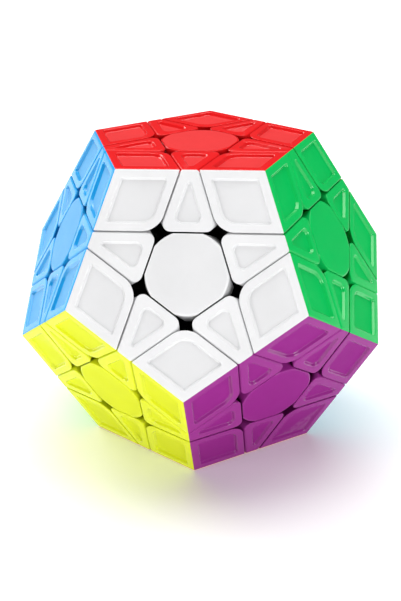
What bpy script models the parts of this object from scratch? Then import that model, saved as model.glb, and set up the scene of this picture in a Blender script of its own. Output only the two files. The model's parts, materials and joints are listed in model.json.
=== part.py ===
"""A dodecahedron twisty puzzle: twelve faces, each with one centre, five edge pieces and five corner pieces.

Metres, +Z up. The origin is the middle of the core, where the twelve turning axes meet. The red face is up, the
orange face is down and is what the puzzle rests on, and the white face looks towards -Y.

Every layer is everything on the outer side of its cut plane, or within a cone round its axis. The cone is
narrow where the stalks are and wider where the feet are, so each foot reaches under its neighbours and holds its
piece in.
A layer is bounded by surfaces of revolution only, so it turns freely.
"""

import itertools
import math

import bmesh
import bpy
from mathutils import Matrix, Vector

# Driving dimensions, in metres and degrees. Distances along an axis are measured from the middle of the core.
EDGE = 0.0300  # one edge of the whole dodecahedron
LAYER = 0.01136  # thickness of a turning layer, from its face to its cut plane
GAP = 0.0003  # clearance between neighbouring pieces
RIM = 0.0017  # width of the raised rim round a sunk panel
SINK = 0.0005  # how far the panels are sunk
CORNER_ROUND = 0.0044  # radius of a corner piece's inner corner, seen on the face
EDGE_ROUND = 0.0030  # radius of an edge piece's inner corners, seen on the face
EDGE_PANEL_ROUND = (0.0004, 0.0014)  # radii of its panels' outer tip and inner corners
CAP_RADIUS = 0.00825
CAP_THICK = 0.0014
CAP_SKIRT = (0.0093, 0.0054)  # radius at its foot, height; it widens below the cap's round corners
CAP_PLUG = (0.0046, 0.0055, 0.0033)  # inner radius, outer radius, length

STALK_CONE = 42.0  # half-angle of the cone that a layer's stalks stay inside
FOOT_IN, FOOT_OUT = 0.0182, 0.02085  # distances from the middle between which the feet lie
STALK_IN = 0.02115  # the stalks' wide parts start here
NECK_IN, NECK_OUT = 0.0195, 0.0225  # the narrow necks that join feet to stalks
CORNER_STALK = (6.9, 3.7, 0.0300)  # degrees to its tips, degrees to its flats, outer end
CORNER_FOOT = (16.0, 11.5)
EDGE_STALK = (7.4, 14.4, 0.0290)  # degrees across the edge, degrees along it, outer end
EDGE_NECK = (7.2, 6.6)
EDGE_FOOT = (16.5, 7.2)

CORE_RADIUS = 0.0110
POST_RADIUS, POST_START, POST_END = 0.0032, 0.0040, 0.0152
POST_BORE, POST_BORE_END = 0.00115, 0.0082
SCREW_SHANK, SCREW_END = 0.0009, 0.0087
SCREW_HEAD_RADIUS, SCREW_HEAD = 0.0026, (0.0240, 0.0259)
SCREW_SOCKET = (0.0014, 0.0010)  # radius and depth of the driver socket in the head
SPRING_RADIUS, SPRING = 0.0024, (0.0173, 0.0240)
CUP_NECK, CUP_RADIUS, CUP_WELL, CUP_BORE = 0.0039, 0.0069, 0.0030, 0.0013
CUP_START, CUP_FLOOR, CUP_WIDENS = 0.0155, 0.0170, 0.0270
CUP_MOUTH = 0.0058

UPPER_RING = ("white", "green", "cream", "pink", "blue")  # 72 degrees apart, from -Y round towards +X
LOWER_RING = ("purple", "light_blue", "grey", "lime", "yellow")  # the same, 36 degrees further round
TURNING = ("orange", "blue", "green")  # the layers whose centres are separate and turn

COLOURS = {
    "white": (0.86, 0.86, 0.87),
    "red": (0.85, 0.012, 0.010),
    "blue": (0.025, 0.42, 0.90),
    "green": (0.005, 0.56, 0.13),
    "yellow": (0.84, 0.87, 0.012),
    "purple": (0.30, 0.018, 0.27),
    "orange": (0.90, 0.20, 0.010),
    "grey": (0.26, 0.27, 0.29),
    "lime": (0.35, 0.80, 0.05),
    "pink": (0.90, 0.28, 0.45),
    "cream": (0.88, 0.76, 0.42),
    "light_blue": (0.35, 0.72, 0.88),
}
DARK = (0.012, 0.012, 0.013)
STEEL = (0.60, 0.60, 0.62)

# What follows from the dimensions.
COS_NEIGHBOUR = 1 / math.sqrt(5)  # between the normals of two neighbouring faces
SIN_NEIGHBOUR = 2 / math.sqrt(5)
INRADIUS = EDGE / 2 * math.sqrt(2.5 + 1.1 * math.sqrt(5))
CUT = INRADIUS - LAYER  # from the middle to each cut plane
APOTHEM = EDGE / 2 / math.tan(math.pi / 5)  # of one pentagonal face
CUT_LINE = (CUT - INRADIUS * COS_NEIGHBOUR) / SIN_NEIGHBOUR  # from a face's middle to the cuts on it
HALF = GAP / 2
ROUND_STEPS = 20
FIXED_STEPS = 15


def clear_scene():
    for item in list(bpy.data.objects):
        bpy.data.objects.remove(item)


def face_normals():
    """Colour name to outward unit normal, for the twelve faces."""
    normals = {"red": Vector((0, 0, 1))}
    rings = ((UPPER_RING, -90, COS_NEIGHBOUR), (LOWER_RING, -54, -COS_NEIGHBOUR))
    for names, start, height in rings:
        for i, name in enumerate(names):
            turn = math.radians(start + 72 * i)
            normals[name] = Vector((SIN_NEIGHBOUR * math.cos(turn), SIN_NEIGHBOUR * math.sin(turn), height))
    normals["orange"] = Vector((0, 0, -1))
    return normals


NORMALS = face_normals()


def neighbours(first, second):
    return abs(NORMALS[first].dot(NORMALS[second]) - COS_NEIGHBOUR) < 1e-3


def edge_pairs():
    return [pair for pair in itertools.combinations(NORMALS, 2) if neighbours(*pair)]


def corner_triples():
    """Each corner's three colours, anticlockwise as seen from outside."""
    triples = []
    for a, b, c in itertools.combinations(NORMALS, 3):
        if neighbours(a, b) and neighbours(b, c) and neighbours(a, c):
            anticlockwise = NORMALS[a].cross(NORMALS[b]).dot(NORMALS[c]) > 0
            triples.append((a, b, c) if anticlockwise else (a, c, b))
    return triples


def around(name):
    """The five neighbours of a face, in turn."""
    axis = NORMALS[name]
    ring = [other for other in NORMALS if other != name and neighbours(name, other)]
    start = (NORMALS[ring[0]] - axis * COS_NEIGHBOUR).normalized()
    side = axis.cross(start)
    return sorted(ring, key=lambda other: math.atan2(side.dot(NORMALS[other]), start.dot(NORMALS[other])))


def frame_of(first, second):
    """Rotation whose +Z is the first face's normal and whose +X points towards the second face."""
    up = NORMALS[first]
    ahead = (NORMALS[second] - up * COS_NEIGHBOUR).normalized()
    return Matrix((ahead, up.cross(ahead), up)).transposed()


def material(name, colour, roughness=0.25, metallic=0.0):
    made = bpy.data.materials.new(name)
    made.use_nodes = True
    shader = made.node_tree.nodes["Principled BSDF"]
    shader.inputs["Base Color"].default_value = (*colour, 1)
    shader.inputs["Roughness"].default_value = roughness
    shader.inputs["Metallic"].default_value = metallic
    return made


def new_object(name, bm):
    bmesh.ops.recalc_face_normals(bm, faces=bm.faces)
    mesh = bpy.data.meshes.new(name)
    bm.to_mesh(mesh)
    bm.free()
    made = bpy.data.objects.new(name, mesh)
    bpy.context.scene.collection.objects.link(made)
    return made


def combine(target, other, operation):
    """Joins, cuts or intersects the target with another object, which is used up."""
    modifier = target.modifiers.new(operation, "BOOLEAN")
    modifier.operation = operation
    modifier.solver = "EXACT"
    modifier.object = other
    graph = bpy.context.evaluated_depsgraph_get()
    result = bpy.data.meshes.new_from_object(target.evaluated_get(graph))
    target.modifiers.clear()
    target.data = result
    bpy.data.objects.remove(other)


def convex_solid(planes):
    """What is left of a big cube once each plane (normal, distance) has cut off its outer side."""
    bm = bmesh.new()
    bmesh.ops.create_cube(bm, size=4 * EDGE)
    for normal, distance in planes:
        everything = bm.verts[:] + bm.edges[:] + bm.faces[:]
        cut = bmesh.ops.bisect_plane(
            bm, geom=everything, dist=1e-8, plane_co=normal * distance, plane_no=normal, clear_outer=True
        )
        rim = [item for item in cut["geom_cut"] if isinstance(item, bmesh.types.BMEdge)]
        bmesh.ops.edgeloop_fill(bm, edges=rim)
    return bm


def edges_between(bm, first, second):
    """The edges whose two faces have the given outward normals."""
    found = []
    for edge in bm.edges:
        normals = [face.normal for face in edge.link_faces]
        if any(a.dot(first) > 0.999 and b.dot(second) > 0.999 for a, b in (normals, normals[::-1])):
            found.append(edge)
    return found


def round_edges(bm, edges, offset, segments):
    bmesh.ops.bevel(bm, geom=edges, offset=offset, offset_type="OFFSET", segments=segments, profile=0.5,
                    affect="EDGES", clamp_overlap=True)


def hull(points):
    bm = bmesh.new()
    for point in points:
        bm.verts.new(point)
    made = bmesh.ops.convex_hull(bm, input=bm.verts)
    bmesh.ops.delete(bm, geom=made["geom_interior"], context="VERTS")
    return bm


def radial_prism(name, directions, near, far):
    """A block with flat sides that all point at the middle of the core. Its inner end is flat and keeps its
    distance from the middle, and the corners of its outer end lie on a ball."""
    middle = sum(directions, Vector()).normalized()
    inner = [d * (near / d.dot(middle)) for d in directions]
    return new_object(name, hull(inner + [d * far for d in directions]))


def leaning(middle, towards, degrees):
    """The direction found by tilting one direction some degrees towards another."""
    side = (towards - middle * towards.dot(middle)).normalized()
    angle = math.radians(degrees)
    return middle * math.cos(angle) + side * math.sin(angle)


def bevel_offset(radius):
    """The Bevel offset that gives this radius, seen on the face, to an edge between two cut planes."""
    tangent = radius * math.tan(math.radians(36))
    return tangent * math.sin(math.radians(72))


def outline_point(first, second, at_first, at_second):
    """The point of a face's plane at given distances along its directions towards two neighbours."""
    cosine = first.dot(second)
    scale = 1 / (1 - cosine * cosine)
    return first * ((at_first - cosine * at_second) * scale) + second * ((at_second - cosine * at_first) * scale)


def rounded(points, radii, segments):
    """A flat outline with each corner replaced by an arc of its radius; a radius of 0 leaves the corner."""
    outline = []
    for i, (corner, radius) in enumerate(zip(points, radii)):
        if radius == 0:
            outline.append(corner)
            continue
        back = (points[i - 1] - corner).normalized()
        ahead = (points[(i + 1) % len(points)] - corner).normalized()
        half = back.angle(ahead) / 2
        middle = corner + (back + ahead).normalized() * (radius / math.sin(half))
        start = corner + back * (radius / math.tan(half)) - middle
        end = corner + ahead * (radius / math.tan(half)) - middle
        sweep = start.angle(end)
        for step in range(segments + 1):
            share = step / segments
            blend = start * math.sin((1 - share) * sweep) + end * math.sin(share * sweep)
            outline.append(middle + blend / math.sin(sweep))
    return outline


def panel_cutter(normal, outline):
    """A block that sinks a panel of this outline into the face with this normal."""
    bm = bmesh.new()
    floor = bm.faces.new([bm.verts.new(normal * (INRADIUS - SINK) + point) for point in outline])
    raised = bmesh.ops.extrude_face_region(bm, geom=[floor])
    lifted = [item for item in raised["geom"] if isinstance(item, bmesh.types.BMVert)]
    bmesh.ops.translate(bm, verts=lifted, vec=normal * (SINK + GAP))
    return new_object("panel_cutter", bm)


def in_face(normal, other):
    """The direction within a face's plane that points straight at a neighbouring face."""
    return (other - normal * COS_NEIGHBOUR).normalized()


def paint_faces(mesh, normals):
    """Slot 0 is the dark inside, and slot 1 onwards the outer faces in the order of the normals."""
    for polygon in mesh.polygons:
        polygon.material_index = 0
        for slot, normal in enumerate(normals, start=1):
            near = polygon.center.dot(normal) > INRADIUS - SINK - HALF
            if near and polygon.normal.dot(normal) > 0.5:
                polygon.material_index = slot


def corner_master(colours):
    """One corner piece, in place: a block with three sunk panels, a stalk, and a foot under its neighbours."""
    normals = [NORMALS[c] for c in colours]
    out = sum(normals, Vector()).normalized()
    planes = [(n, INRADIUS) for n in normals] + [(-n, -(CUT + HALF)) for n in normals]
    shell = convex_solid(planes)
    bmesh.ops.recalc_face_normals(shell, faces=shell.faces)
    inner = [e for a, b in itertools.combinations(normals, 2) for e in edges_between(shell, -a, -b)]
    round_edges(shell, inner, bevel_offset(CORNER_ROUND), 3)
    corner = new_object("corner_master", shell)

    low = CUT_LINE + HALF / SIN_NEIGHBOUR + RIM
    high = APOTHEM - RIM
    for i, normal in enumerate(normals):
        first = in_face(normal, normals[i - 2])
        second = in_face(normal, normals[i - 1])
        steps = ((low, low), (high, low), (high, high), (low, high))
        points = [outline_point(first, second, *step) for step in steps]
        outline = rounded(points, (CORNER_ROUND - RIM, 0, 0, 0), 3)
        combine(corner, panel_cutter(normal, outline), "DIFFERENCE")

    tip, flat, end = CORNER_STALK
    stalk = [leaning(out, n, tip) for n in normals] + [leaning(out, 2 * out - n, flat) for n in normals]
    combine(corner, radial_prism("stalk", stalk, NECK_IN, end), "UNION")
    tip, flat = CORNER_FOOT
    foot = [leaning(out, n, tip) for n in normals] + [leaning(out, 2 * out - n, flat) for n in normals]
    combine(corner, radial_prism("foot", foot, FOOT_IN, FOOT_OUT), "UNION")
    paint_faces(corner.data, normals)
    return corner


def four_directions(out, across, along, degrees_across, degrees_along):
    found = []
    for side, end in itertools.product((-1, 1), repeat=2):
        tilt = across * (side * math.tan(math.radians(degrees_across)))
        tilt += along * (end * math.tan(math.radians(degrees_along)))
        found.append((out + tilt).normalized())
    return found


def edge_master(colours):
    """One edge piece, in place: a block with two sunk panels, a stalk, a neck and a foot under the centres."""
    normals = [NORMALS[c] for c in colours]
    ends = [NORMALS[c] for c in NORMALS if c not in colours and all(neighbours(c, d) for d in colours)]
    out = (normals[0] + normals[1]).normalized()
    across = (normals[0] - normals[1]).normalized()
    along = out.cross(across)
    planes = [(n, INRADIUS) for n in normals] + [(-n, -(CUT + HALF)) for n in normals]
    planes += [(n, CUT - HALF) for n in ends]
    # Each end keeps outside the cone in which that neighbour's stalks turn.
    planes += [(-leaning(end, out, STALK_CONE + 90), -HALF) for end in ends]
    shell = convex_solid(planes)
    bmesh.ops.recalc_face_normals(shell, faces=shell.faces)
    inner = [e for n, end in itertools.product(normals, ends) for e in edges_between(shell, -n, end)]
    round_edges(shell, inner, bevel_offset(EDGE_ROUND), 3)
    edge = new_object("edge_master", shell)

    low = CUT_LINE + HALF / SIN_NEIGHBOUR + RIM
    high = CUT_LINE - HALF / SIN_NEIGHBOUR - RIM
    for i, normal in enumerate(normals):
        straight = in_face(normal, normals[1 - i])
        sides = [in_face(normal, end) for end in ends]
        points = [outline_point(sides[0], sides[1], high, high)]
        points += [outline_point(straight, side, low, high) for side in sides]
        tip, base = EDGE_PANEL_ROUND
        outline = rounded(points, (tip, base, base), 2)
        combine(edge, panel_cutter(normal, outline), "DIFFERENCE")

    degrees_across, degrees_along, far = EDGE_STALK
    stalk = four_directions(out, across, along, degrees_across, degrees_along)
    combine(edge, radial_prism("stalk", stalk, STALK_IN, far), "UNION")
    neck = four_directions(out, across, along, *EDGE_NECK)
    combine(edge, radial_prism("neck", neck, NECK_IN, NECK_OUT), "UNION")
    foot = four_directions(out, across, along, *EDGE_FOOT)
    combine(edge, radial_prism("foot", foot, FOOT_IN, FOOT_OUT), "UNION")
    paint_faces(edge.data, normals)
    return edge


def turned(name, profile, steps=ROUND_STEPS):
    """A closed profile of (radius, height) points turned round +Z. Points on the axis meet in one."""
    bm = bmesh.new()
    points = [bm.verts.new((radius, 0, height)) for radius, height in profile]
    sides = [bm.edges.new((a, b)) for a, b in zip(points, points[1:] + points[:1])]
    on_axis = [side for side in sides if all(vert.co.x == 0 for vert in side.verts)]
    for side in on_axis:
        sides.remove(side)
        bm.edges.remove(side)
    bmesh.ops.spin(bm, geom=points + sides, axis=(0, 0, 1), cent=(0, 0, 0), angle=2 * math.pi, steps=steps,
                   use_merge=True)
    bmesh.ops.remove_doubles(bm, verts=bm.verts, dist=1e-7)
    return new_object(name, bm)


def place(target, colour):
    """Turns an object modelled along +Z so that it lies along this face's axis."""
    target.data.transform(frame_of(colour, around(colour)[0]).to_4x4())
    return target


def flats(colour):
    """A block that trims a cap to its five flats, one facing each edge piece. The flats are parallel to the axis,
    so the cap pulls straight out past the edge pieces, which lean over it."""
    normal = NORMALS[colour]
    planes = [(in_face(normal, NORMALS[other]), CUT_LINE - HALF / SIN_NEIGHBOUR) for other in around(colour)]
    planes += [(normal, 2 * EDGE), (-normal, 0)]
    return new_object("flats", convex_solid(planes))


def cap_bottom():
    return INRADIUS - CAP_THICK


def centre_cap(colour):
    """The flat cap, with a flared skirt round the cup and a round collar that plugs into the cup."""
    inner, outer, length = CAP_PLUG
    bottom = cap_bottom()
    flare, height = CAP_SKIRT
    hollow = CUP_RADIUS + GAP
    profile = ((0, INRADIUS), (CAP_RADIUS, INRADIUS), (flare, INRADIUS - height), (hollow, INRADIUS - height),
               (hollow, bottom), (outer, bottom), (outer, bottom - length), (inner, bottom - length),
               (inner, bottom), (0, bottom))
    cap = place(turned(f"cap_{colour}", profile), colour)
    combine(cap, flats(colour), "INTERSECT")
    return cap


def flange_height(radius):
    """The cup's flange follows a ball just outside the feet, so that they slide round under it."""
    return math.sqrt((STALK_IN + HALF) ** 2 - radius ** 2)


def cup_outside():
    return [(CUP_NECK, CUP_START), (CUP_NECK, flange_height(CUP_NECK)), (CUP_RADIUS, flange_height(CUP_RADIUS)),
            (CUP_RADIUS, cap_bottom() - GAP)]


def centre_cup(colour):
    """The cup that turns on the core's post. The screw and its spring stand in its well."""
    inside = [(CUP_MOUTH, cap_bottom() - GAP), (CUP_MOUTH, CUP_WIDENS), (CUP_WELL, CUP_WIDENS),
              (CUP_WELL, CUP_FLOOR), (CUP_BORE, CUP_FLOOR), (CUP_BORE, CUP_START)]
    return place(turned(f"centre_cup_{colour}", cup_outside() + inside), colour)


def screw_with_spring(colour):
    """The screw with the spring round its shank, the spring drawn as its outer envelope."""
    low, high = SPRING
    head_low, head_high = SCREW_HEAD
    socket_radius, socket_depth = SCREW_SOCKET
    profile = ((0, SCREW_END), (SCREW_SHANK, SCREW_END), (SCREW_SHANK, low), (SPRING_RADIUS, low),
               (SPRING_RADIUS, high), (SCREW_HEAD_RADIUS, head_low), (SCREW_HEAD_RADIUS, head_high),
               (socket_radius, head_high), (socket_radius, head_high - socket_depth),
               (0, head_high - socket_depth))
    return place(turned(f"screw_and_spring_{colour}", profile, 12), colour)


def rod(colour, radius, near, far):
    """A plain round rod along a face's axis."""
    profile = ((0, near), (radius, near), (radius, far), (0, far))
    return place(turned("rod", profile, 12), colour)


def fixed_centre(colour):
    """A post, cup and cap in one, for a layer whose centre stays with the core."""
    profile = [(0, POST_START), (POST_RADIUS, POST_START), (POST_RADIUS, CUP_START)] + cup_outside()[:-1]
    flare, height = CAP_SKIRT
    profile += [(CUP_RADIUS, INRADIUS - height), (flare, INRADIUS - height), (CAP_RADIUS, INRADIUS), (0, INRADIUS)]
    centre = place(turned("fixed_centre", profile, FIXED_STEPS), colour)
    combine(centre, flats(colour), "INTERSECT")
    return centre


def core():
    """The ball with its twelve posts, and the nine centres that stay with it."""
    bm = bmesh.new()
    bmesh.ops.create_icosphere(bm, subdivisions=2, radius=CORE_RADIUS)
    ball = new_object("core_with_fixed_centres", bm)
    for colour in NORMALS:
        turns = colour in TURNING
        arm = rod(colour, POST_RADIUS, POST_START, POST_END) if turns else fixed_centre(colour)
        combine(ball, arm, "UNION")
    for colour in TURNING:
        combine(ball, rod(colour, POST_BORE, POST_BORE_END, POST_END + GAP), "DIFFERENCE")
    return ball


def finish(target, materials):
    """Gives an object its own materials and smooth round sides."""
    while len(target.data.materials) < len(materials):
        target.data.materials.append(None)
    for slot, made in zip(target.material_slots, materials):
        slot.link = "OBJECT"
        slot.material = made
    target.data.shade_smooth()
    target.data.set_sharp_from_angle(angle=math.radians(30))


def copies(master, names, plastics, dark, prefix):
    """Each piece of one kind: an object that shares the master's mesh, turned to its own place."""
    master_names = names[0]
    start = Matrix([NORMALS[n] for n in master_names[:2]]
                   + [NORMALS[master_names[0]].cross(NORMALS[master_names[1]])]).transposed()
    for colours in names:
        first, second = NORMALS[colours[0]], NORMALS[colours[1]]
        turn = Matrix((first, second, first.cross(second))).transposed() @ start.inverted()
        piece = bpy.data.objects.new(f"{prefix}_{'_'.join(colours)}", master.data)
        piece.rotation_mode = "QUATERNION"
        piece.rotation_quaternion = turn.to_quaternion()
        bpy.context.scene.collection.objects.link(piece)
        finish(piece, [dark] + [plastics[c] for c in colours])
    bpy.data.objects.remove(master)


def main():
    clear_scene()
    plastics = {name: material(f"{name}_plastic", colour) for name, colour in COLOURS.items()}
    dark = material("dark_plastic", DARK, roughness=0.45)
    steel = material("steel", STEEL, roughness=0.3, metallic=1.0)
    corners, edges = corner_triples(), edge_pairs()
    copies(corner_master(corners[0]), corners, plastics, dark, "corner")
    copies(edge_master(edges[0]), edges, plastics, dark, "edge")
    finish(core(), [dark])
    for colour in TURNING:
        finish(centre_cup(colour), [dark])
        finish(centre_cap(colour), [plastics[colour]])
        finish(screw_with_spring(colour), [steel])


main()
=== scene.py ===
"""The looks of the dodecahedron twisty puzzle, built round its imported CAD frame.

Every real piece is its own object: twenty corners, thirty edges, and for each of the twelve faces a cap, a
cup, a screw and a spring, all round one core. Metres, +Z up, the middle of the core at the origin, as in the
CAD. Each kind of piece is modelled once and copied to its other places with its vertices turned, so every
object stays at the origin.
"""

import itertools
import json
import math

import bmesh
import bpy
from mathutils import Matrix, Vector

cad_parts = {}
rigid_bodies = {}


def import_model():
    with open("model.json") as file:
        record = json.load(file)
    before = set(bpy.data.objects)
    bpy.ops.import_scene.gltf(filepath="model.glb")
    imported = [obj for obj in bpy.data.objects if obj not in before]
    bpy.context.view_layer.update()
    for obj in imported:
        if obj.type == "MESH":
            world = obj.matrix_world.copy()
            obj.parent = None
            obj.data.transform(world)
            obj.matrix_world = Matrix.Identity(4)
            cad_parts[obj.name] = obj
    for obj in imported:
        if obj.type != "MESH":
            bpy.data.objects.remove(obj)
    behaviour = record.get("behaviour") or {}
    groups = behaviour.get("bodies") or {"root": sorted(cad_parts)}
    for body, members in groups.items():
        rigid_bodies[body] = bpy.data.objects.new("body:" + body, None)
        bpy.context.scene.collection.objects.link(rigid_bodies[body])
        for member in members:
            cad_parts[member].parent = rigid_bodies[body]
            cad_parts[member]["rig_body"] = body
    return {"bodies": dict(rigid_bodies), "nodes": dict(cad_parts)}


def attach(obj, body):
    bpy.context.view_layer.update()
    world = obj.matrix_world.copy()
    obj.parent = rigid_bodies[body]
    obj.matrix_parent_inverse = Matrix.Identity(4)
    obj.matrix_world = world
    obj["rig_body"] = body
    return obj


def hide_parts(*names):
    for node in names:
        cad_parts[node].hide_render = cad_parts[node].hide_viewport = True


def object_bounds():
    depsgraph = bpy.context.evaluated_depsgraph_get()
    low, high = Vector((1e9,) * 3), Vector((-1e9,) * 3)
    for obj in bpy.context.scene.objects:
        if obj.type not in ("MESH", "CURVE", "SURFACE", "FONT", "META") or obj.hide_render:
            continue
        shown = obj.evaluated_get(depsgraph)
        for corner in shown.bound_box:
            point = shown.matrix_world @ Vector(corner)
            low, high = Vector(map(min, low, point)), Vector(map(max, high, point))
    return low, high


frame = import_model()
# What Blender starts with, such as its cube, goes.
for spare in set(bpy.data.objects) - set(frame["bodies"].values()) - set(frame["nodes"].values()):
    bpy.data.objects.remove(spare)
CAD_LOW, CAD_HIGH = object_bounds()

# The dodecahedron, worked out from the CAD box: the red face is up, so its height is the inradius.
COS_NEIGHBOUR = 1 / math.sqrt(5)  # between the normals of two neighbouring faces
SIN_NEIGHBOUR = 2 / math.sqrt(5)
INRADIUS = CAD_HIGH.z
EDGE = 2 * INRADIUS / math.sqrt(2.5 + 1.1 * math.sqrt(5))
LAYER = 0.01136  # thickness of a turning layer
CUT = INRADIUS - LAYER  # from the middle to each cut plane
CUT_LINE = (CUT - INRADIUS * COS_NEIGHBOUR) / SIN_NEIGHBOUR  # from a face's middle to the cuts on it
HALF = 0.00015  # half the clearance between neighbouring pieces

# The outer shapes, in metres.
CORNER_ROUND = 0.0044  # a corner piece's inner corner, seen on the face
CORNER_PANEL_ROUND = 0.0034  # the same corner of its panel
EDGE_ROUND = 0.0030  # an edge piece's two inner corners
ARC_STEPS = 8  # segments in each round corner
BORDER = 0.0008  # flat border along the outline, which the rounded edges eat into
RIM = 0.0016  # from the outline to where a panel starts to sink
SLOPE = 0.00055  # width of the curved slope round a panel
SLOPE_STEPS = 8
SINK = 0.00062  # how far a panel is sunk
PANEL_ROUND = 0.0007  # a panel's sharper corners, at the top of the slope
PANEL_ROUND_LEAST = 0.00022  # the same corners, at the foot of the slope
PANEL_BASE_ROUND = 0.0015  # the two inner corners of an edge piece's panel
OUTER_FILLET = 0.00050  # along the dodecahedron's edges
SEAM_FILLET = 0.00030  # along the seams
FILLET_STEPS = 4
SHELL = 0.0034  # how deep the face's colour reaches down a piece's sides; below it starts the painted shade of the dark mechanism
SAME_CORNER = 0.0010  # outline points nearer than this belong to one round corner

# What holds the pieces in: the same sizes as in the CAD. Lengths are distances from the middle of the core.
STALK_CONE = 42.0  # degrees from an end face's axis to the slanting cut under an edge piece
FOOT_IN, FOOT_OUT = 0.0182, 0.02085
STALK_IN = 0.02115
NECK_IN, NECK_OUT = 0.0195, 0.0225
CORNER_STALK = (6.9, 3.7, 0.0300)  # degrees towards the faces and away from them, outer end
CORNER_FOOT = (16.0, 11.5)  # degrees, likewise
EDGE_STALK = (7.4, 14.4, 0.0290)  # degrees across and along the edge, outer end
EDGE_NECK = (7.2, 6.6)  # degrees, likewise
EDGE_FOOT = (16.5, 7.2)
MECHANISM_FILLET = 0.00035

# The centres. Only the cap differs from the CAD: its round corners reach 0.2 mm further out.
CAP_RADIUS, CAP_THICK = 0.00845, 0.0014
CAP_SKIRT = (0.0093, 0.0054)  # radius at its foot, height
CAP_PLUG = (0.0046, 0.0055, 0.0033)  # inner radius, outer radius, length
CAP_FILLET, CAP_CORNER_FILLET = 0.00022, 0.00045  # along its flats, and round its corners
CAP_CLEARANCE = 0.00003  # between its flats and where the cut meets the face
CAP_STEPS = 8  # segments in each flat and in each corner
CUP_NECK, CUP_RADIUS, CUP_WELL, CUP_BORE = 0.0039, 0.0069, 0.0030, 0.0013  # radii
CUP_START, CUP_FLOOR, CUP_WIDENS = 0.0155, 0.0170, 0.0270  # heights along its axis
CUP_MOUTH = 0.0058
CORE_RADIUS = 0.0110
POST_RADIUS, POST_START, POST_END = 0.0032, 0.0040, 0.0152
POST_BORE, POST_BORE_END = 0.00115, 0.0082
SCREW_SHANK, SCREW_END = 0.0009, 0.0087
THREAD_PITCH, THREAD_ROOT = 0.0006, 0.78  # its root as a share of the shank's radius
THREAD_PLAIN = 0.004  # shank without a thread, below the head
SCREW_HEAD_RADIUS, SCREW_HEAD = 0.0026, (0.0240, 0.0259)
SCREW_DOME, SCREW_DOME_STEPS = 0.0006, 6
SCREW_CROSS = (0.0028, 0.0006, 0.0020)  # length and width of each slot, and twice its depth
SPRING_RADIUS, SPRING = 0.0024, (0.0173, 0.0240)
SPRING_WIRE = 0.00028  # radius of its wire
SPRING_TURNS, SPRING_TURN_STEPS, WIRE_SIDES = 6, 28, 10
TURN_STEPS = 96  # segments in a turned piece
SHARP, SMOOTH = 30.0, 40.0  # degrees between faces: from here up fillets are made, and shading stays sharp
FLAT = 0.999  # cosine within which two directions count as one

UPPER_RING = ("white", "green", "cream", "pink", "blue")  # 72 degrees apart, from -Y round towards +X
LOWER_RING = ("purple", "light_blue", "grey", "lime", "yellow")  # the same, 36 degrees further round
ROOT = "core_and_other_layers"

COLOURS = {  # linear red, green and blue
    "white": (0.84, 0.84, 0.85),
    "red": (0.86, 0.010, 0.012),
    "blue": (0.018, 0.42, 0.88),
    "green": (0.003, 0.57, 0.112),
    "yellow": (0.80, 0.87, 0.012),
    "purple": (0.33, 0.024, 0.27),
    "orange": (0.90, 0.20, 0.010),
    "grey": (0.26, 0.27, 0.29),
    "lime": (0.35, 0.80, 0.05),
    "pink": (0.90, 0.28, 0.45),
    "cream": (0.88, 0.76, 0.42),
    "light_blue": (0.35, 0.72, 0.88),
}
PAINTED_PANEL_SHEEN = {"red": 0.045, "blue": 0.16, "yellow": 0.02}  # how much paler the matt panels are: a painted sheen for the broad light they reflect
# Painted shade: the mechanism gets this near-black so the deep openings between pieces go black.
OPENING_SHADE_DARK = (0.010, 0.010, 0.011)
STEEL = (0.56, 0.56, 0.58)

# Finishes: the range of roughness, then how strong the rest is. The shade darkens the colour.
GLOSS = dict(rough=(0.13, 0.22), grain=0.10, waviness=0.05, specular=0.05, coat=0.28, shade=0.96)
MATT = dict(rough=(0.36, 0.48), grain=0.45, waviness=0.05, specular=0.03, coat=0.0, shade=0.89)
POLISH = dict(rough=(0.13, 0.22), grain=0.05, waviness=0.03, specular=0.05, coat=1.0, shade=0.96)
ROUGHER = dict(rough=(0.34, 0.50), grain=0.35, waviness=0.08, specular=0.3, coat=0.0, shade=1.0)
COAT_ROUGHNESS = 0.08
DEEP, EDGE_HIGHLIGHT = 0.955, 0.10  # how deep the pigment's clouds go, and how pale the painted highlight along the edges goes
CLOUDS, EDGE_HIGHLIGHT_NOISE, SMEARS, WAVES, GRAIN = 95.0, 700.0, 260.0, 55.0, 5200.0  # noise scales, per metre; the second breaks up the painted edge highlight
STAINS, SCRATCHES, TURNING_MARKS = 900.0, 2600.0, 7000.0  # the same, on steel

# The stage.
FLOOR_RADIUS, FLOOR_GLOW, FLOOR_CLOUDS = 4.0, 0.18, 6.0
FLOOR_COLOURS = (0.93, 0.93, 0.93), (0.95, 0.95, 0.95)
ROOM_GLOW = 0.10
SOFTBOXES = {  # place, size, watts
    "top_light": ((0.0, 0.2, 0.9), (0.9, 0.9), 9.9),
    "back_left_light": ((-0.75, 0.65, 0.55), (0.7, 0.5), 5.4),
    "left_light": ((-0.76, -0.52, 0.10), (0.40, 0.35), 3.2),
    "right_light": ((0.56, -0.72, 0.17), (0.40, 0.35), 4.1),
}

# The camera stands at the photograph's viewing angle.
CAMERA_AZIMUTH, CAMERA_ELEVATION, CAMERA_ROLL = 5.92, 23.03, -1.13  # degrees
CAMERA_DISTANCE = 0.2617
CAMERA_LENS = 69.4  # millimetres
OFF_MIDDLE = (0.0018, 0.0144)  # tangents of how far right of and above the view's middle the puzzle is


# ---- Directions ---------------------------------------------------------------------------------------


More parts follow.
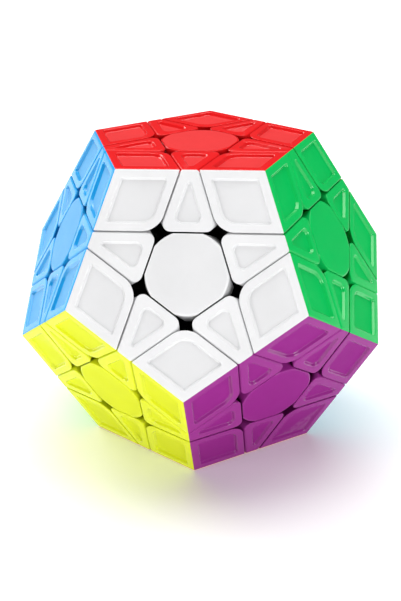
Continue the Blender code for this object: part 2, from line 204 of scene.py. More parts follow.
def face_normals():
    """Colour name to outward unit normal, for the twelve faces."""
    normals = {"red": Vector((0, 0, 1))}
    rings = ((UPPER_RING, -90, COS_NEIGHBOUR), (LOWER_RING, -54, -COS_NEIGHBOUR))
    for names, start, height in rings:
        for i, name in enumerate(names):
            turn = math.radians(start + 72 * i)
            normals[name] = Vector((SIN_NEIGHBOUR * math.cos(turn), SIN_NEIGHBOUR * math.sin(turn), height))
    normals["orange"] = Vector((0, 0, -1))
    return normals


NORMALS = face_normals()


def neighbours(first, second):
    return abs(NORMALS[first].dot(NORMALS[second]) - COS_NEIGHBOUR) < 1e-3


def edge_pairs():
    return [pair for pair in itertools.combinations(NORMALS, 2) if neighbours(*pair)]


def corner_triples():
    """Each corner's three colours, anticlockwise as seen from outside."""
    triples = []
    for a, b, c in itertools.combinations(NORMALS, 3):
        if neighbours(a, b) and neighbours(b, c) and neighbours(a, c):
            anticlockwise = NORMALS[a].cross(NORMALS[b]).dot(NORMALS[c]) > 0
            triples.append((a, b, c) if anticlockwise else (a, c, b))
    return triples


def around(name):
    """The five neighbours of a face, in turn."""
    axis = NORMALS[name]
    ring = [other for other in NORMALS if other != name and neighbours(name, other)]
    start = in_face(axis, NORMALS[ring[0]])
    side = axis.cross(start)
    return sorted(ring, key=lambda other: math.atan2(side.dot(NORMALS[other]), start.dot(NORMALS[other])))


def in_face(normal, other):
    """The direction within a face's plane that points straight at a neighbouring face."""
    return (other - normal * COS_NEIGHBOUR).normalized()


def frame_of(colour):
    """Rotation whose +Z is the face's normal and whose +X points towards its first neighbour."""
    up = NORMALS[colour]
    ahead = in_face(up, NORMALS[around(colour)[0]])
    return Matrix((ahead, up.cross(ahead), up)).transposed().to_4x4()


def leaning(middle, towards, degrees):
    """The direction found by tilting one direction some degrees towards another."""
    side = (towards - middle * towards.dot(middle)).normalized()
    angle = math.radians(degrees)
    return middle * math.cos(angle) + side * math.sin(angle)


# ---- Materials ----------------------------------------------------------------------------------------


def noise(tree, scale, detail=4.0, roughness=0.55):
    """Noise in the object's own coordinates, so that it stays put when the piece moves."""
    coordinates = tree.nodes.new("ShaderNodeTexCoord")
    made = tree.nodes.new("ShaderNodeTexNoise")
    made.inputs["Scale"].default_value = scale
    made.inputs["Detail"].default_value = detail
    made.inputs["Roughness"].default_value = roughness
    tree.links.new(coordinates.outputs["Object"], made.inputs["Vector"])
    return made.outputs["Fac"]


def spread(tree, value, low, high, from_low=0.0, from_high=1.0):
    """The value stretched from one range to another."""
    made = tree.nodes.new("ShaderNodeMapRange")
    for name, number in (("From Min", from_low), ("From Max", from_high), ("To Min", low), ("To Max", high)):
        made.inputs[name].default_value = number
    tree.links.new(value, made.inputs["Value"])
    return made.outputs["Result"]


def mixed(tree, share, first, second):
    """Colour between two others. A colour is a socket or three numbers."""
    made = tree.nodes.new("ShaderNodeMix")
    made.data_type = "RGBA"
    colour_inputs = [s for s in made.inputs if s.type == "RGBA"]
    for socket, colour in zip(colour_inputs, (first, second)):
        if isinstance(colour, tuple):
            socket.default_value = (*colour, 1)
        else:
            tree.links.new(colour, socket)
    tree.links.new(share, made.inputs["Factor"])
    return next(s for s in made.outputs if s.type == "RGBA")


def bumped(tree, height, distance, strength, below=None):
    made = tree.nodes.new("ShaderNodeBump")
    made.inputs["Distance"].default_value = distance
    made.inputs["Strength"].default_value = strength
    tree.links.new(height, made.inputs["Height"])
    if below is not None:
        tree.links.new(below, made.inputs["Normal"])
    return made.outputs["Normal"]


def with_painted_sheen(name):
    """The colour of a matt panel, paler on some faces by a painted sheen for the light it reflects."""
    share = PAINTED_PANEL_SHEEN.get(name, 0.0)
    return tuple(c + (1 - c) * share for c in COLOURS[name])


def plastic(name, colour, rough, grain, waviness, specular, coat, shade):
    """Moulded plastic: cloudy pigment, uneven gloss, fine grain on waves, and a painted highlight on edges.
    """
    made = bpy.data.materials.new(name)
    made.use_nodes = True
    tree = made.node_tree
    shader = tree.nodes["Principled BSDF"]
    colour = tuple(c * shade for c in colour)
    deep = tuple(c * DEEP for c in colour)
    pale = tuple(c + (1 - c) * EDGE_HIGHLIGHT for c in colour)
    clouds = spread(tree, noise(tree, CLOUDS, 3.0), 0, 1, 0.35, 0.65)
    body = mixed(tree, clouds, deep, colour)
    # Painted highlight: edges that bend outwards (pointiness) go paler, broken up by noise.
    geometry = tree.nodes.new("ShaderNodeNewGeometry")
    edge_highlight = tree.nodes.new("ShaderNodeMath")
    edge_highlight.operation = "MULTIPLY"
    tree.links.new(spread(tree, geometry.outputs["Pointiness"], 0, 0.55, 0.52, 0.62), edge_highlight.inputs[0])
    tree.links.new(spread(tree, noise(tree, EDGE_HIGHLIGHT_NOISE), 0.2, 1, 0.4, 0.6), edge_highlight.inputs[1])
    tree.links.new(mixed(tree, edge_highlight.outputs[0], body, pale), shader.inputs["Base Color"])
    gloss = spread(tree, noise(tree, SMEARS, 6.0), rough[0], rough[1], 0.3, 0.7)
    tree.links.new(gloss, shader.inputs["Roughness"])
    waves = bumped(tree, noise(tree, WAVES, 1.0), 0.0010, waviness)
    fine = bumped(tree, noise(tree, GRAIN, 2.0), 0.00003, grain, waves)
    tree.links.new(fine, shader.inputs["Normal"])
    shader.inputs["Specular IOR Level"].default_value = specular
    shader.inputs["Coat Weight"].default_value = coat
    shader.inputs["Coat Roughness"].default_value = COAT_ROUGHNESS
    return made


def steel_material():
    """Plated steel with faint stains, an uneven polish and a fine relief."""
    made = bpy.data.materials.new("steel_plated")
    made.use_nodes = True
    tree = made.node_tree
    shader = tree.nodes["Principled BSDF"]
    shader.inputs["Metallic"].default_value = 1.0
    stains = spread(tree, noise(tree, STAINS), 0, 1, 0.3, 0.7)
    tree.links.new(mixed(tree, stains, tuple(c * 0.8 for c in STEEL), STEEL), shader.inputs["Base Color"])
    tree.links.new(spread(tree, noise(tree, SCRATCHES), 0.22, 0.42), shader.inputs["Roughness"])
    tree.links.new(bumped(tree, noise(tree, TURNING_MARKS), 0.00002, 0.3), shader.inputs["Normal"])
    return made


GLOSSY = {name: plastic(f"{name}_gloss", colour, **GLOSS) for name, colour in COLOURS.items()}
# The satin panels carry the painted sheen.
SATIN = {name: plastic(f"{name}_satin", with_painted_sheen(name), **MATT) for name in COLOURS}
POLISHED = {name: plastic(f"{name}_polished", colour, **POLISH) for name, colour in COLOURS.items()}
# The mechanism's dark plastic is painted shade for the openings between pieces.
SHADE_DARK_PLASTIC = plastic("mechanism_painted_shade", OPENING_SHADE_DARK, **ROUGHER)
STEEL_PLATED = steel_material()


# ---- Mesh tools ---------------------------------------------------------------------------------------


def new_object(name, bm):
    bmesh.ops.recalc_face_normals(bm, faces=bm.faces)
    mesh = bpy.data.meshes.new(name)
    bm.to_mesh(mesh)
    bm.free()
    made = bpy.data.objects.new(name, mesh)
    bpy.context.scene.collection.objects.link(made)
    return made


def bake(target):
    """Replaces the object's mesh with what its modifiers make of it."""
    graph = bpy.context.evaluated_depsgraph_get()
    result = bpy.data.meshes.new_from_object(target.evaluated_get(graph))
    target.modifiers.clear()
    target.data = result
    return target


def combine(target, other, operation):
    """Joins another object to the target, or cuts it out of the target, and uses it up."""
    modifier = target.modifiers.new(operation, "BOOLEAN")
    modifier.operation = operation
    modifier.solver = "EXACT"
    modifier.object = other
    bake(target)
    bpy.data.objects.remove(other)
    return target


def fillet(target, width, steps=FILLET_STEPS, weighted=False):
    """Rounds the sharp edges, or the edges that have a bevel weight."""
    modifier = target.modifiers.new("fillet", "BEVEL")
    modifier.width = width
    modifier.segments = steps
    modifier.limit_method = "WEIGHT" if weighted else "ANGLE"
    modifier.angle_limit = math.radians(SHARP)
    modifier.loop_slide = not weighted
    modifier.use_clamp_overlap = not weighted
    return bake(target)


def smoothed(target):
    """Smooth shading whose flat faces stay flat right up to their fillets."""
    target.data.shade_smooth()
    target.data.set_sharp_from_angle(angle=math.radians(SMOOTH))
    modifier = target.modifiers.new("weighted", "WEIGHTED_NORMAL")
    modifier.keep_sharp = True
    modifier.weight = 60
    return bake(target)


def convex_solid(planes):
    """What is left of a big cube once each plane (normal, distance) has cut off its outer side."""
    bm = bmesh.new()
    bmesh.ops.create_cube(bm, size=4 * EDGE)
    for normal, distance in planes:
        everything = bm.verts[:] + bm.edges[:] + bm.faces[:]
        cut = bmesh.ops.bisect_plane(
            bm, geom=everything, dist=1e-8, plane_co=normal * distance, plane_no=normal, clear_outer=True
        )
        rim = [item for item in cut["geom_cut"] if isinstance(item, bmesh.types.BMEdge)]
        bmesh.ops.edgeloop_fill(bm, edges=rim)
    bmesh.ops.recalc_face_normals(bm, faces=bm.faces)
    return bm


def edges_between(bm, first, second):
    """The edges whose two faces have the given outward normals."""
    found = []
    for edge in bm.edges:
        normals = [face.normal for face in edge.link_faces]
        if any(a.dot(first) > FLAT and b.dot(second) > FLAT for a, b in (normals, normals[::-1])):
            found.append(edge)
    return found


def round_inner_corners(bm, edges, radius):
    """Rounds edges between two cut planes, to this radius as seen on the face."""
    offset = radius * math.tan(math.radians(36)) * math.sin(math.radians(72))
    bmesh.ops.bevel(
        bm, geom=edges, offset=offset, offset_type="OFFSET", segments=ARC_STEPS, profile=0.5, affect="EDGES",
        clamp_overlap=True,
    )
    bm.normal_update()


def radial_prism(name, directions, near, far):
    """A block whose flat sides all point at the middle of the core, with flat ends and rounded edges."""
    middle = sum(directions, Vector()).normalized()
    bm = bmesh.new()
    for point in [d * (near / d.dot(middle)) for d in directions] + [d * far for d in directions]:
        bm.verts.new(point)
    made = bmesh.ops.convex_hull(bm, input=bm.verts)
    bmesh.ops.delete(bm, geom=made["geom_interior"], context="VERTS")
    bmesh.ops.dissolve_limit(bm, angle_limit=math.radians(1), verts=bm.verts, edges=bm.edges)
    return fillet(new_object(name, bm), MECHANISM_FILLET, 2)


def turned(name, profile, steps=TURN_STEPS):
    """A closed profile of (radius, height) points turned round +Z. Points on the axis meet in one."""
    bm = bmesh.new()
    points = [bm.verts.new((radius, 0, height)) for radius, height in profile]
    sides = [bm.edges.new((a, b)) for a, b in zip(points, points[1:] + points[:1])]
    on_axis = [side for side in sides if all(vert.co.x == 0 for vert in side.verts)]
    for side in on_axis:
        sides.remove(side)
        bm.edges.remove(side)
    bmesh.ops.spin(
        bm, geom=points + sides, axis=(0, 0, 1), cent=(0, 0, 0), angle=2 * math.pi, steps=steps,
        use_merge=True,
    )
    bmesh.ops.remove_doubles(bm, verts=bm.verts, dist=1e-7)
    return new_object(name, bm)


def rod(radius, near, far, steps=TURN_STEPS // 2):
    """A round rod along +Z."""
    return turned("rod", ((0, near), (radius, near), (radius, far), (0, far)), steps)


# ---- Sunk panels --------------------------------------------------------------------------------------


def outline_corners(face):
    """The face's outline as corners, each a run of points that are close together."""
    points = list(face.verts)
    gaps = [(points[i].co - points[i - 1].co).length for i in range(len(points))]
    first = gaps.index(max(gaps))
    points = points[first:] + points[:first]
    corners = [[points[0]]]
    for before, point in zip(points, points[1:]):
        if (point.co - before.co).length < SAME_CORNER:
            corners[-1].append(point)
        else:
            corners.append([point])
    return corners


def straight_sides(normal, corners):
    """For each side between two corners: which way is inward, and how far inward of the middle it lies."""
    sides = []
    for i, corner in enumerate(corners):
        start, end = corner[-1].co, corners[(i + 1) % len(corners)][0].co
        inward = normal.cross((end - start).normalized())
        sides.append((inward, inward.dot(start)))
    return sides


def crossing(before, after, inset):
    """Where two sides' lines meet in the plane through the middle, once both have moved in by the inset."""
    (a, at_a), (b, at_b) = before, after
    cosine = a.dot(b)
    scale = 1 / (1 - cosine * cosine)
    at_a, at_b = at_a + inset, at_b + inset
    return a * ((at_a - cosine * at_b) * scale) + b * ((at_b - cosine * at_a) * scale)


def arc(point, before, after, radius, steps):
    """Points of the arc that rounds a corner between two sides, or the corner itself."""
    (a, _), (b, _) = before, after
    if steps == 0:
        return [point]
    half = a.angle(b) / 2
    middle = point + (a + b).normalized() * (radius / math.cos(half))
    sweep = 2 * half
    found = []
    for step in range(steps + 1):
        share = step / steps
        blend = a * math.sin((1 - share) * sweep) + b * math.sin(share * sweep)
        found.append(middle - blend * (radius / math.sin(sweep)))
    return found


def outline_at(normal, sides, radii, counts, inset, height):
    """The outline moved in by the inset, at a height along the normal: a list of points for each corner."""
    loop = []
    for i, (radius, steps) in enumerate(zip(radii, counts)):
        corner = crossing(sides[i - 1], sides[i], inset)
        loop.append([p + normal * height for p in arc(corner, sides[i - 1], sides[i], radius, steps)])
    return loop


def bridge(bm, outer, inner):
    """Faces between two outlines, corner to corner. A corner of one point fans out to the other's arc."""
    made = []
    for i, (out, into) in enumerate(zip(outer, inner)):
        if len(out) == len(into):
            for j in range(len(out) - 1):
                made.append((out[j], out[j + 1], into[j + 1], into[j]))
        else:
            for j in range(len(into) - 1):
                made.append((out[0], into[j + 1], into[j]))
        following = (i + 1) % len(outer)
        made.append((out[-1], outer[following][0], inner[following][0], into[-1]))
    for corners in made:
        distinct = list(dict.fromkeys(corners))
        if len(distinct) > 2:
            bm.faces.new(distinct)


def vertices(bm, loop):
    """The outline's points as vertices, still a list for each corner."""
    return [[bm.verts.new(point) for point in corner] for corner in loop]


def panel_outline(sides, steps, narrow):
    """The panel's corners and sides, and which of its corners two corners of the piece share, if any.

    An edge piece's two outermost corners, which are sharp, share one corner of the panel.
    """
    count = len(sides)
    if not narrow:
        return list(range(count)), sides, None
    tips = [i for i in range(count) if steps[i] == 0]
    first = tips[0] if (tips[0] + 1) % count == tips[1] else tips[1]
    second = (first + 1) % count
    kept = [i for i in range(count) if i != second]
    return kept, [sides[second if i == first else i] for i in kept], kept.index(first)


def sink_panel(bm, normal, panel_radii, narrow):
    """Replaces an outer face with a flat border, a curved slope and a sunk panel."""
    face = next(f for f in bm.faces if f.normal.dot(normal) > FLAT)
    corners = outline_corners(face)
    sides = straight_sides(normal, corners)
    bm.faces.remove(face)
    steps = [len(corner) - 1 for corner in corners]
    border_radius = (EDGE_ROUND if narrow else CORNER_ROUND) - BORDER
    border = outline_at(normal, sides, [border_radius] * len(sides), steps, BORDER, INRADIUS)
    above = vertices(bm, border)
    bridge(bm, corners, above)

    kept, panel_sides, shared = panel_outline(sides, steps, narrow)
    radii = [panel_radii[0] if steps[i] else panel_radii[1] for i in kept]
    for step in range(-1, SLOPE_STEPS + 1):  # the first loop keeps the rim flat right up to the slope
        share = step / SLOPE_STEPS
        inset = RIM + SLOPE * share
        fall = (1 - math.cos(math.pi * max(share, 0))) / 2
        now = [max(radius - SLOPE * share, PANEL_ROUND_LEAST) for radius in radii]
        height = INRADIUS - SINK * fall
        loop = vertices(bm, outline_at(normal, panel_sides, now, [ARC_STEPS] * len(kept), inset, height))
        if narrow:
            tip, half = loop[shared], ARC_STEPS // 2
            loop[shared:shared + 1] = [tip[:half + 1], tip[half:]]
        bridge(bm, above, loop)
        above = loop
    rim = [point for corner in above for point in corner]
    bm.faces.new(list(dict.fromkeys(rim)))


def weigh_edges(bm, normals):
    """Bevel weights: the full fillet along the dodecahedron's edges, and a smaller one along the seams."""
    layers = bm.edges.layers.float
    weights = layers.get("bevel_weight_edge") or layers.new("bevel_weight_edge")
    bm.normal_update()
    for edge in bm.edges:
        if len(edge.link_faces) != 2 or edge.calc_face_angle() < math.radians(SHARP):
            continue
        outer = sum(any(face.normal.dot(n) > FLAT for n in normals) for face in edge.link_faces)
        edge[weights] = (0.0, SEAM_FILLET / OUTER_FILLET, 1.0)[outer]


def near_face(normals, point):
    """Which of the piece's faces is nearest, and how deep below it the point lies."""
    heights = [n.dot(point) for n in normals]
    highest = max(heights)
    return heights.index(highest), INRADIUS - highest


def cut_along_colours(bm, normals):
    """Cuts the faces where one colour meets the next, and where the face's colour gives way to painted
    shade.
    """
    for a, b in itertools.combinations(range(len(normals)), 2):
        others = [n for i, n in enumerate(normals) if i not in (a, b)]
        faces = []
        for face in bm.faces:
            middle = face.calc_center_median()
            _, depth = near_face(normals, middle)
            lowest = min(normals[a].dot(middle), normals[b].dot(middle))
            if depth < SHELL * 2 and all(n.dot(middle) < lowest + 1e-6 for n in others):
                faces.append(face)
        cut_faces(bm, faces, Vector(), (normals[a] - normals[b]).normalized())
    for i, normal in enumerate(normals):
        faces = [f for f in bm.faces if near_face(normals, f.calc_center_median())[0] == i]
        cut_faces(bm, faces, normal * (INRADIUS - SHELL), normal)


def paint(target, normals):
    """Gives each face of the mesh its slot.

    Slot 0 is the mechanism, painted dark as the shade in the deep openings. Then, one for each colour, come
    the glossy slots, the satin ones for the sunk panels, and the polished ones for the slopes round the
    panels.
    """
    bm = bmesh.new()
    bm.from_mesh(target.data)
    cut_along_colours(bm, normals)
    bm.normal_update()
    panels = {}
    for face in bm.faces:
        middle = face.calc_center_median()
        nearest, depth = near_face(normals, middle)
        # Below the coloured shell, faces take the dark slot, painted shade for the openings.
        if depth > SHELL:
            face.material_index = 0
        elif depth > SINK * 0.9 and face.normal.dot(normals[nearest]) > FLAT:
            face.material_index = 1 + len(normals) + nearest
            panels.setdefault(nearest, []).append(middle)
        else:
            face.material_index = 1 + nearest
    panel_middles = {nearest: sum(middles, Vector()) / len(middles) for nearest, middles in panels.items()}
    for face in bm.faces:
        middle = face.calc_center_median()
        nearest, depth = near_face(normals, middle)
        normal = normals[nearest]
        inward = panel_middles[nearest] - middle
        inward -= normal * inward.dot(normal)
        if depth < SINK and face.normal.dot(normal) < 0.99 and face.normal.dot(inward) > 0:
            face.material_index = 1 + 2 * len(normals) + nearest
    bm.to_mesh(target.data)
    bm.free()


def cut_faces(bm, faces, point, normal):
    """Cuts only these faces along a plane, without removing anything."""
    edges = {edge for face in faces for edge in face.edges}
    verts = {vert for face in faces for vert in face.verts}
    bmesh.ops.bisect_plane(bm, geom=[*verts, *edges, *faces], dist=1e-7, plane_co=point, plane_no=normal)


# ---- Corner and edge pieces ---------------------------------------------------------------------------


def finished_block(name, bm, normals, prisms):
    """Fillets the block, joins its stalk and foot to it, and paints it."""
    weigh_edges(bm, normals)
    block = fillet(new_object(name, bm), OUTER_FILLET, weighted=True)
    for prism in prisms:
        combine(block, prism, "UNION")
    paint(block, normals)
    return smoothed(block)


def six_directions(out, normals, degrees_to, degrees_from):
    """Directions tilted from the corner's own towards each face, and then away from each face."""
    to_faces = [leaning(out, n, degrees_to) for n in normals]
    return to_faces + [leaning(out, 2 * out - n, degrees_from) for n in normals]


def corner_master(colours):
    normals = [NORMALS[c] for c in colours]
    out = sum(normals, Vector()).normalized()
    planes = [(n, INRADIUS) for n in normals] + [(-n, -(CUT + HALF)) for n in normals]
    bm = convex_solid(planes)
    inner = [e for a, b in itertools.combinations(normals, 2) for e in edges_between(bm, -a, -b)]
    round_inner_corners(bm, inner, CORNER_ROUND)
    for normal in normals:
        sink_panel(bm, normal, (CORNER_PANEL_ROUND, PANEL_ROUND), False)
    *stalk, end = CORNER_STALK
    prisms = [
        radial_prism("stalk", six_directions(out, normals, *stalk), NECK_IN, end),
        radial_prism("foot", six_directions(out, normals, *CORNER_FOOT), FOOT_IN, FOOT_OUT),
    ]
    return finished_block("corner_master", bm, normals, prisms)


def four_directions(out, across, along, degrees_across, degrees_along):
    """Directions tilted from the edge's own to both sides and to both ends."""
    found = []
    for side, end in itertools.product((-1, 1), repeat=2):
        tilt = across * (side * math.tan(math.radians(degrees_across)))
        tilt += along * (end * math.tan(math.radians(degrees_along)))
        found.append((out + tilt).normalized())
    return found


def edge_master(colours):
    normals = [NORMALS[c] for c in colours]
    ends = [NORMALS[c] for c in NORMALS if c not in colours and all(neighbours(c, d) for d in colours)]
    out = (normals[0] + normals[1]).normalized()
    across = (normals[0] - normals[1]).normalized()
    along = out.cross(across)
    planes = [(n, INRADIUS) for n in normals] + [(-n, -(CUT + HALF)) for n in normals]
    planes += [(n, CUT - HALF) for n in ends]
    planes += [(-leaning(end, out, STALK_CONE + 90), -HALF) for end in ends]
    bm = convex_solid(planes)
    inner = [e for n, end in itertools.product(normals, ends) for e in edges_between(bm, -n, end)]
    round_inner_corners(bm, inner, EDGE_ROUND)
    for normal in normals:
        sink_panel(bm, normal, (PANEL_BASE_ROUND, PANEL_ROUND), True)
    *stalk, end = EDGE_STALK
    prisms = [
        radial_prism("stalk", four_directions(out, across, along, *stalk), STALK_IN, end),
        radial_prism("neck", four_directions(out, across, along, *EDGE_NECK), NECK_IN, NECK_OUT),
        radial_prism("foot", four_directions(out, across, along, *EDGE_FOOT), FOOT_IN, FOOT_OUT),
    ]
    return finished_block("edge_master", bm, normals, prisms)


def placed_copies(master, names, kind):
    """A piece for each name, with the master's vertices turned to its own place."""
    start = orientation(names[0])
    for colours in names:
        turn = orientation(colours) @ start.inverted()
        mesh = master.data.copy()
        mesh.transform(turn.to_4x4())
        piece = bpy.data.objects.new(f"{'_'.join(colours)}_{kind}", mesh)
        bpy.context.scene.collection.objects.link(piece)
        # Slot 0 is the dark plastic that paints shade in the openings.
        dress(piece, [SHADE_DARK_PLASTIC] + [m[c] for m in (GLOSSY, SATIN, POLISHED) for c in colours])
        node = f"{kind}_{'_'.join(colours)}"
        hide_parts(node)
        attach(piece, frame["nodes"][node]["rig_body"])
    bpy.data.objects.remove(master)


def orientation(colours):
    """A basis fixed to the piece, from which its turn to another place is found."""
    first, second = NORMALS[colours[0]], NORMALS[colours[1]]
    return Matrix((first, second, first.cross(second))).transposed()


def dress(piece, materials):
    """Adds the materials in the order of the slots that the mesh's faces already name."""
    for made in materials:
        piece.data.materials.append(made)


# ---- Centres ------------------------------------------------------------------------------------------


def cap_loop(flat, radius, height):
    """One outline of the cap: five flats at a distance from the axis, joined by arcs round the axis."""
    reach = math.acos(flat / radius)
    points = []
    for i in range(5):
        middle = math.radians(72 * i)
        for step in range(CAP_STEPS):
            across = flat * math.tan(reach) * (2 * step / CAP_STEPS - 1)
            points.append((math.atan2(across, flat) + middle, math.hypot(across, flat)))
        for step in range(CAP_STEPS):
            points.append((middle + reach + (math.radians(72) - 2 * reach) * step / CAP_STEPS, radius))
    return [Vector((out * math.cos(turn), out * math.sin(turn), height)) for turn, out in points]


def round_loop(radius, height):
    """A circle with as many points as the cap's outlines, and in step with them."""
    count = 10 * CAP_STEPS
    turns = [math.radians(360 * i / count - 18) for i in range(count)]
    return [Vector((radius * math.cos(turn), radius * math.sin(turn), height)) for turn in turns]


def cap_master():
    """The cap, along +Z, with its first flat facing +X: a satin top, a skirt round the cup, and a plug."""
    foot, depth = CAP_SKIRT
    flat = CUT_LINE - CAP_CLEARANCE
    loops = []
    for step in range(FILLET_STEPS + 1):
        turn = math.radians(90 * step / FILLET_STEPS)
        inward, drop = 1 - math.sin(turn), 1 - math.cos(turn)
        radius = CAP_RADIUS - CAP_CORNER_FILLET * inward
        loops.append(cap_loop(flat - CAP_FILLET * inward, radius, INRADIUS - CAP_FILLET * drop))
    for step in range(1, CAP_STEPS + 1):
        share = step / CAP_STEPS
        height = INRADIUS - CAP_FILLET - (depth - CAP_FILLET) * share
        loops.append(cap_loop(flat, CAP_RADIUS + (foot - CAP_RADIUS) * share, height))
    inner, outer, length = CAP_PLUG
    bottom = INRADIUS - CAP_THICK
    hollow = CUP_RADIUS + 2 * HALF
    inside = [(hollow, INRADIUS - depth), (hollow, bottom), (outer, bottom), (outer, bottom - length)]
    inside += [(inner, bottom - length), (inner, bottom)]
    loops += [round_loop(radius, height) for radius, height in inside]
    bm = bmesh.new()
    rings = [[bm.verts.new(point) for point in loop] for loop in loops]
    for above, below in zip(rings, rings[1:]):
        for i in range(len(above)):
            bm.faces.new((above[i - 1], above[i], below[i], below[i - 1]))
    top = bm.faces.new(rings[0])
    top.material_index = 1
    bm.faces.new(rings[-1])
    return smoothed(new_object("cap_master", bm))


def flange_height(radius):
    """The cup's flange follows a ball just outside the feet."""
    return math.sqrt((STALK_IN + HALF) ** 2 - radius ** 2)


def cup_master():
    """The cup that turns on a post of the core."""
    top = INRADIUS - CAP_THICK - 2 * HALF
    profile = [(CUP_NECK, CUP_START), (CUP_NECK, flange_height(CUP_NECK))]
    profile += [(CUP_RADIUS, flange_height(CUP_RADIUS)), (CUP_RADIUS, top), (CUP_MOUTH, top)]
    profile += [(CUP_MOUTH, CUP_WIDENS), (CUP_WELL, CUP_WIDENS), (CUP_WELL, CUP_FLOOR)]
    profile += [(CUP_BORE, CUP_FLOOR), (CUP_BORE, CUP_START)]
    return smoothed(fillet(turned("cup_master", profile), HALF, 2))


def screw_master():
    """A pan-head screw with a cross recess. Its thread is a stack of rings."""
    head_low, head_high = SCREW_HEAD
    thread_low = SCREW_END + SCREW_SHANK
    profile = [(0, SCREW_END), (SCREW_SHANK * 0.5, SCREW_END), (SCREW_SHANK, thread_low)]
    for i in range(int((head_low - THREAD_PLAIN - thread_low) / THREAD_PITCH)):
        low = thread_low + THREAD_PITCH * i
        profile += [(SCREW_SHANK * THREAD_ROOT, low + THREAD_PITCH * 0.3), (SCREW_SHANK, low + THREAD_PITCH)]
    side_top = head_high - SCREW_DOME
    profile += [(SCREW_SHANK, head_low), (SCREW_HEAD_RADIUS, head_low), (SCREW_HEAD_RADIUS, side_top)]
    for i in range(1, SCREW_DOME_STEPS):
        angle = math.radians(90 * i / SCREW_DOME_STEPS)
        profile.append((SCREW_HEAD_RADIUS * math.cos(angle) ** 0.5, side_top + SCREW_DOME * math.sin(angle)))
    profile.append((0, head_high))
    screw = turned("screw_master", profile, TURN_STEPS // 2)
    for turn in (0, math.radians(90)):
        bm = bmesh.new()
        bmesh.ops.create_cube(bm, size=1.0)
        size = Matrix.Diagonal((*SCREW_CROSS, 1))
        place = Matrix.Translation((0, 0, head_high)) @ Matrix.Rotation(turn, 4, "Z") @ size
        bmesh.ops.transform(bm, matrix=place, verts=bm.verts)
        combine(screw, new_object("slot", bm), "DIFFERENCE")
    return smoothed(screw)


def spring_master():
    """A helix of round wire with flat ends."""
    low, high = SPRING
    radius = SPRING_RADIUS - SPRING_WIRE
    rise = high - low - 2 * SPRING_WIRE
    steps = SPRING_TURNS * SPRING_TURN_STEPS
    bm = bmesh.new()
    rings = []
    for i in range(steps + 1):
        share = i / steps
        angle = 2 * math.pi * SPRING_TURNS * share
        outward = Vector((math.cos(angle), math.sin(angle), 0))
        middle = outward * radius + Vector((0, 0, low + SPRING_WIRE + rise * share))
        ring = []
        for j in range(WIRE_SIDES):
            turn = 2 * math.pi * j / WIRE_SIDES
            offset = outward * math.cos(turn) + Vector((0, 0, 1)) * math.sin(turn)
            ring.append(bm.verts.new(middle + offset * SPRING_WIRE))
        rings.append(ring)
    for before, after in zip(rings, rings[1:]):
        for j in range(WIRE_SIDES):
            k = (j + 1) % WIRE_SIDES
            bm.faces.new((before[j], before[k], after[k], after[j]))
    bm.faces.new(rings[0])
    bm.faces.new(rings[-1][::-1])
    return smoothed(new_object("spring_master", bm))


def core_piece():
    """The ball with its twelve bored posts."""
    bm = bmesh.new()
    bmesh.ops.create_icosphere(bm, subdivisions=4, radius=CORE_RADIUS)
    core = new_object("core_ball", bm)
    for colour in NORMALS:
        post = rod(POST_RADIUS, POST_START, POST_END)
        post.data.transform(frame_of(colour))
        combine(core, post, "UNION")
    for colour in NORMALS:
        bore = rod(POST_BORE, POST_BORE_END, POST_END + HALF, TURN_STEPS // 4)
        bore.data.transform(frame_of(colour))
        combine(core, bore, "DIFFERENCE")
    return smoothed(core)


def centre_pieces(core):
    """Each face's cap, cup, screw and spring."""
    kinds = {
        "cap": (cap_master(), "cap"),
        "cup": (cup_master(), "centre_cup"),
        "screw": (screw_master(), "screw_and_spring"),
        "spring": (spring_master(), "screw_and_spring"),
    }
    for colour in NORMALS:
        for kind, (master, prefix) in kinds.items():
            mesh = master.data.copy()
            mesh.transform(frame_of(colour))
            piece = bpy.data.objects.new(f"{colour}_{kind}", mesh)
            bpy.context.scene.collection.objects.link(piece)
            node = f"{prefix}_{colour}"
            if node not in frame["nodes"]:
                node = "core_with_fixed_centres"
            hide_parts(node)
            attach(piece, frame["nodes"][node]["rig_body"])
            if kind == "cap":
                dress(piece, [GLOSSY[colour], SATIN[colour]])
            else:
                metal = kind in ("screw", "spring")
                # Cups take the dark plastic that paints shade in the openings; screws and springs are steel.
                dress(piece, [STEEL_PLATED if metal else SHADE_DARK_PLASTIC])
    for master, _ in kinds.values():
        bpy.data.objects.remove(master)
    # The core takes the same dark plastic, painted shade for the openings.
    dress(core, [SHADE_DARK_PLASTIC])
    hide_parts("core_with_fixed_centres")
    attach(core, ROOT)


# ---- Stage --------------------------------------------------------------------------------------------


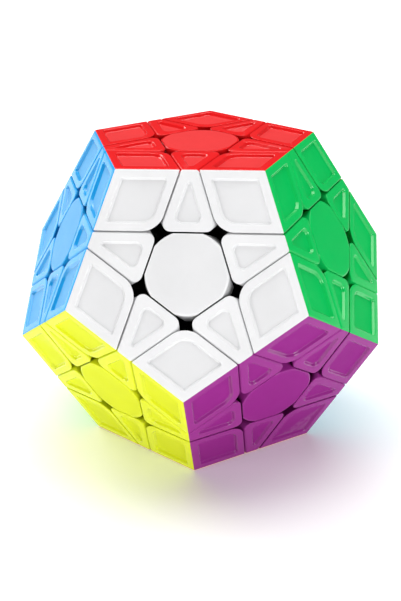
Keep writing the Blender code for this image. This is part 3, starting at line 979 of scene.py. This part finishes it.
def floor():
    """A plain pale floor under the resting face."""
    bm = bmesh.new()
    bmesh.ops.create_circle(bm, cap_ends=True, segments=96, radius=FLOOR_RADIUS)
    made = new_object("floor", bm)
    made.location.z = CAD_LOW.z
    pale = bpy.data.materials.new("pale_floor")
    pale.use_nodes = True
    tree = pale.node_tree
    shader = tree.nodes["Principled BSDF"]
    shader.inputs["Roughness"].default_value = 0.8
    shader.inputs["Specular IOR Level"].default_value = 0.1
    shader.inputs["Emission Color"].default_value = (1, 1, 1, 1)
    shader.inputs["Emission Strength"].default_value = FLOOR_GLOW
    clouds = spread(tree, noise(tree, FLOOR_CLOUDS), 0, 1, 0.3, 0.7)
    tree.links.new(mixed(tree, clouds, *FLOOR_COLOURS), shader.inputs["Base Color"])
    dress(made, [pale])


def softbox(name, place, size, power):
    """A rectangle of soft light that faces the puzzle."""
    light = bpy.data.lights.new(name, "AREA")
    light.shape = "RECTANGLE"
    light.size, light.size_y = size
    light.energy = power
    made = bpy.data.objects.new(name, light)
    made.location = place
    made.rotation_euler = Vector(place).to_track_quat("Z", "Y").to_euler()
    bpy.context.scene.collection.objects.link(made)


def lights():
    world = bpy.data.worlds.new("studio")
    world.use_nodes = True
    background = world.node_tree.nodes["Background"]
    background.inputs["Color"].default_value = (1, 1, 1, 1)
    background.inputs["Strength"].default_value = ROOM_GLOW
    bpy.context.scene.world = world
    for name, (place, size, power) in SOFTBOXES.items():
        softbox(name, place, size, power)


def camera():
    azimuth, elevation, roll = (math.radians(a) for a in (CAMERA_AZIMUTH, CAMERA_ELEVATION, CAMERA_ROLL))
    level = Vector((math.cos(azimuth), math.sin(azimuth), 0))
    outward = Vector((math.sin(azimuth), -math.cos(azimuth), 0))
    back = outward * math.cos(elevation) + Vector((0, 0, math.sin(elevation)))
    up = back.cross(level)
    right = level * math.cos(roll) + up * math.sin(roll)
    above = up * math.cos(roll) - level * math.sin(roll)
    aim = (back + right * OFF_MIDDLE[0] + above * OFF_MIDDLE[1]).normalized()
    right = above.cross(aim).normalized()
    above = aim.cross(right)
    data = bpy.data.cameras.new("camera")
    data.lens = CAMERA_LENS
    data.clip_start, data.clip_end = 0.01, 20.0
    made = bpy.data.objects.new("camera", data)
    turn = Matrix((right, above, aim)).transposed().to_4x4()
    made.matrix_world = Matrix.Translation(back * CAMERA_DISTANCE) @ turn
    bpy.context.scene.collection.objects.link(made)
    bpy.context.scene.camera = made


CORNERS, EDGES = corner_triples(), edge_pairs()
placed_copies(corner_master(CORNERS[0]), CORNERS, "corner")
placed_copies(edge_master(EDGES[0]), EDGES, "edge")
centre_pieces(core_piece())
floor()
lights()
camera()
bpy.context.scene.view_settings.view_transform = "Standard"
